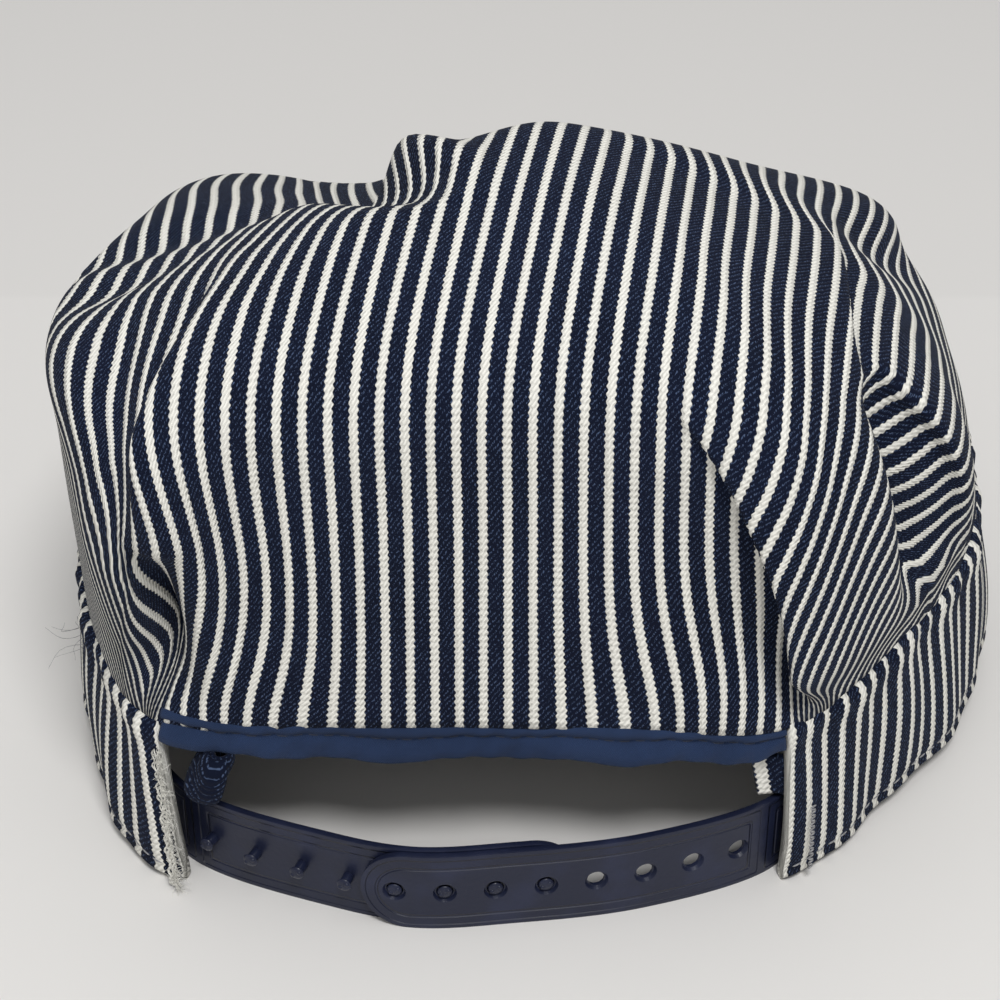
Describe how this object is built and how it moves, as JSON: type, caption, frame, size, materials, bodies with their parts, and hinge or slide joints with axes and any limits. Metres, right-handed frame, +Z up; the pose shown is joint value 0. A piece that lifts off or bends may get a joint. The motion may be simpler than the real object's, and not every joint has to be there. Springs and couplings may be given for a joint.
{
  "type": "engineer cap",
  "caption": "Soft striped engineer cap with a full folded crown, straight head band, short peak, bound back opening and a snapped plastic adjuster strap",
  "frame": {"origin": "middle of the part's box in plan, on the surface that the cap stands on", "axes": "+Z up, +Y forward from the back opening to the peak, +X to the wearer's right"},
  "size_m": [0.1911, 0.2425, 0.1266],
  "materials": {
    "striped_cloth": "navy twill with woven cream stripes 4.4 mm apart",
    "binding_cloth": "plain blue bias tape, matte",
    "strap_plastic": "moulded dark navy plastic, half gloss"
  },
  "bodies": {
    "root": {"crown": "striped_cloth", "head_band": "striped_cloth", "peak": "striped_cloth", "back_binding": "binding_cloth", "strap_pegs": "strap_plastic", "strap_holes": "strap_plastic"}
  },
  "joints": []
}
